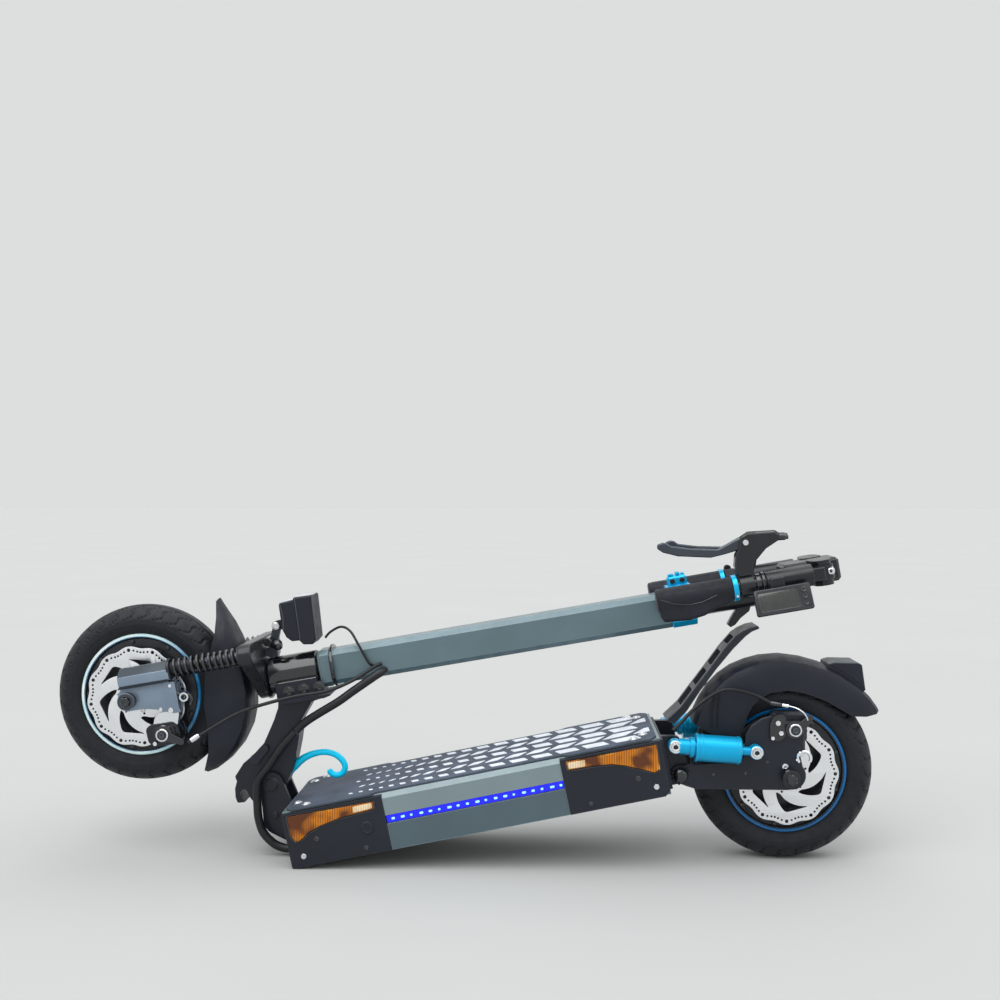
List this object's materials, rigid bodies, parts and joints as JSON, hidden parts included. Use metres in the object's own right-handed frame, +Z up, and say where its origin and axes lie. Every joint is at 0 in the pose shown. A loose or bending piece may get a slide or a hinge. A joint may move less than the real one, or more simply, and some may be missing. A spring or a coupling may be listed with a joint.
{
  "type": "electric kick scooter",
  "caption": "Folding electric kick scooter, folded: deck on a sprung fork and swing arm, hub motor wheels, folded bars locked over the tail plate.",
  "frame": {"origin": "centre of the bounding box, at the level of the floor it rests on", "axes": "+X along the scooter towards its tail, +Z up, +Y across it; the folded scooter stands on the deck nose edge and the rear tyre"},
  "size_m": [1.1835, 0.1946, 0.4657],
  "materials": {
    "paint_grey": "satin metallic paint on alloy",
    "black_satin": "satin powder coat on alloy",
    "black_metal": "semi gloss black on alloy",
    "black_plastic": "moulded, fine grain",
    "rubber": "moulded tread rubber",
    "grip_rubber": "soft matt rubber",
    "steel": "stainless, fine grain",
    "alloy_blue_grey": "blue grey anodised",
    "cyan_anodised": "bright cyan anodised",
    "cyan_plastic": "glossy cyan",
    "amber": "moulded amber lens",
    "red_lens": "dark red lamp moulding",
    "deck_mat": "fine grit mat",
    "battery_wrap": "shrink wrap",
    "cable": "flexible jacket"
  },
  "bodies": {
    "deck": {"deck_frame": "paint_grey", "deck_mat": "deck_mat", "deck_bottom_cover": "black_metal", "battery_pack": "battery_wrap", "motor_controller": "black_metal", "side_panel_front_near": "black_satin", "side_panel_front_far": "black_satin", "side_panel_rear_near": "black_satin", "side_panel_rear_far": "black_satin", "signal_lens_front_near": "amber", "signal_lens_front_far": "amber", "signal_lens_rear_near": "amber", "signal_lens_rear_far": "amber", "nose_hinge_bracket": "black_metal", "rear_bracket": "black_satin", "kick_plate": "alloy_blue_grey"},
    "rear_suspension": {"rear_swingarm": "black_satin", "rear_axle": "black_metal", "rear_mudguard": "black_plastic", "rear_lamp": "red_lens", "rear_brake_cable": "cable"},
    "rear_wheel": {"rear_tyre": "rubber", "rear_hub_motor": "black_metal", "rear_brake_rotor": "steel"},
    "rear_brake_arm": {"rear_caliper_arm": "black_metal"},
    "shock_near_body": {"shock_body_near": "cyan_anodised"},
    "shock_far_body": {"shock_body_far": "cyan_anodised"},
    "shock_near_rod": {"shock_rod_near": "cyan_anodised"},
    "shock_far_rod": {"shock_rod_far": "cyan_anodised"},
    "neck_arm": {"neck": "black_satin", "bag_hook": "cyan_plastic", "conduit_lower": "cable"},
    "latch": {"fold_latch": "black_metal"},
    "steering_column": {"fork_crown": "black_metal", "stem_tube": "paint_grey", "stem_clamp_collar": "cyan_anodised", "front_mudguard": "black_plastic", "headlamp_bracket": "steel", "conduit_upper": "cable", "front_brake_cable": "cable", "headlamp_lead": "cable", "fork_spring_near": "black_metal", "fork_spring_far": "black_metal"},
    "fork_slider": {"fork_lower_near": "alloy_blue_grey", "fork_lower_far": "alloy_blue_grey", "front_axle": "black_metal"},
    "front_wheel": {"front_tyre": "rubber", "front_hub_motor": "black_metal", "front_brake_rotor": "steel"},
    "front_brake_arm": {"front_caliper_arm": "black_metal"},
    "lamp": {"headlamp": "black_plastic"},
    "bar_head": {"inner_tube_head": "black_metal"},
    "bar_near": {"handlebar_near": "black_metal", "grip_near": "grip_rubber", "display_unit": "black_plastic"},
    "bar_far": {"handlebar_far": "black_metal", "grip_far": "grip_rubber"},
    "lever_near": {"brake_lever_near": "black_metal"},
    "lever_far": {"brake_lever_far": "black_metal"},
    "throttle": {"throttle_paddle": "black_plastic"}
  },
  "joints": [
    {"name": "fold_hinge", "type": "hinge", "parent": "deck", "child": "neck_arm", "pos_m": [-0.27532, 0, 0.09882], "axis": [0, -1, 0], "range_deg": [0, 78], "deforming": ["conduit_lower"]},
    {"name": "fold_latch_pivot", "type": "hinge", "parent": "neck_arm", "child": "latch", "pos_m": [-0.30006, 0, 0.13398], "axis": [0, -1, 0], "range_deg": [0, 40]},
    {"name": "steering", "type": "hinge", "parent": "neck_arm", "child": "steering_column", "pos_m": [-0.4622, 0, 0.2193], "axis": [0.985, 0, 0.1724], "range_deg": [-40, 40], "deforming": ["conduit_upper"]},
    {"name": "fork_travel", "type": "slide", "parent": "steering_column", "child": "fork_slider", "axis": [0.985, 0, 0.1724], "range_m": [0, 0.016], "stiffness_N_per_m": 9000, "deforming": ["fork_spring_near", "fork_spring_far", "front_brake_cable"]},
    {"name": "front_wheel_spin", "type": "hinge", "parent": "fork_slider", "child": "front_wheel", "pos_m": [-0.46375, 0, 0.22817], "axis": [0, 1, 0], "continuous": true},
    {"name": "front_caliper_arm_pivot", "type": "hinge", "parent": "fork_slider", "child": "front_brake_arm", "pos_m": [-0.41487, 0, 0.18089], "axis": [0, -1, 0], "range_deg": [0, 20]},
    {"name": "headlamp_tilt", "type": "hinge", "parent": "steering_column", "child": "lamp", "pos_m": [-0.2717, 0, 0.32575], "axis": [0, 1, 0], "range_deg": [-8, 8], "deforming": ["headlamp_lead"]},
    {"name": "stem_height", "type": "slide", "parent": "steering_column", "child": "bar_head", "axis": [0.985, 0, 0.1724], "range_m": [0, 0.12]},
    {"name": "bar_fold_near", "type": "hinge", "parent": "bar_head", "child": "bar_near", "pos_m": [0.5046, -0.048, 0.40886], "axis": [-0.1724, 0, 0.985], "range_deg": [0, 90]},
    {"name": "bar_fold_far", "type": "hinge", "parent": "bar_head", "child": "bar_far", "pos_m": [0.5046, 0.048, 0.40886], "axis": [0.1724, 0, -0.985], "range_deg": [0, 90]},
    {"name": "brake_lever_near_pivot", "type": "hinge", "parent": "bar_near", "child": "lever_near", "pos_m": [0.39476, -0.06, 0.45054], "axis": [0, -1, 0], "range_deg": [0, 14], "stiffness_Nm_per_rad": 1.2, "springref_deg": -17.19},
    {"name": "brake_lever_far_pivot", "type": "hinge", "parent": "bar_far", "child": "lever_far", "pos_m": [0.41747, 0.06, 0.44843], "axis": [0, -1, 0], "range_deg": [0, 14], "stiffness_Nm_per_rad": 1.2, "springref_deg": -17.19},
    {"name": "throttle_turn", "type": "hinge", "parent": "bar_far", "child": "throttle", "pos_m": [0.39329, 0.06, 0.38937], "axis": [0.985, 0, 0.1724], "range_deg": [0, 25], "stiffness_Nm_per_rad": 0.15, "springref_deg": -17.19},
    {"name": "swingarm_pivot", "type": "hinge", "parent": "deck", "child": "rear_suspension", "pos_m": [0.3063, 0, 0.1285], "axis": [0, -1, 0], "range_deg": [0, 4], "stiffness_Nm_per_rad": 1800, "springref_deg": -2.01, "deforming": ["rear_brake_cable"]},
    {"name": "rear_wheel_spin", "type": "hinge", "parent": "rear_suspension", "child": "rear_wheel", "pos_m": [0.4558, 0, 0.1275], "axis": [0, 1, 0], "continuous": true},
    {"name": "rear_caliper_arm_pivot", "type": "hinge", "parent": "rear_suspension", "child": "rear_brake_arm", "pos_m": [0.4648, 0, 0.1905], "axis": [0, -1, 0], "range_deg": [0, 20]},
    {"name": "shock_near_pivot", "type": "hinge", "parent": "deck", "child": "shock_near_body", "pos_m": [0.2978, 0, 0.1705], "axis": [0, -1, 0], "range_deg": [0, 3.84]},
    {"name": "shock_near_slide", "type": "slide", "parent": "shock_near_body", "child": "shock_near_rod", "axis": [0.998, 0, -0.0632], "range_m": [-0.00311, 0]},
    {"name": "shock_far_pivot", "type": "hinge", "parent": "deck", "child": "shock_far_body", "pos_m": [0.2978, 0, 0.1705], "axis": [0, -1, 0], "range_deg": [0, 3.84]},
    {"name": "shock_far_slide", "type": "slide", "parent": "shock_far_body", "child": "shock_far_rod", "axis": [0.998, 0, -0.0632], "range_m": [-0.00311, 0]}
  ],
  "couplings": [
    {"joint": "front_caliper_arm_pivot", "follows": "brake_lever_far_pivot", "ratio": 1.4},
    {"joint": "rear_caliper_arm_pivot", "follows": "brake_lever_near_pivot", "ratio": 1.4},
    {"joint": "shock_near_pivot", "follows": "swingarm_pivot", "ratio": 0.9102},
    {"joint": "shock_near_slide", "follows": "swingarm_pivot", "m_per_rad": -0.041703},
    {"joint": "shock_far_pivot", "follows": "swingarm_pivot", "ratio": 0.9102},
    {"joint": "shock_far_slide", "follows": "swingarm_pivot", "m_per_rad": -0.041703}
  ]
}
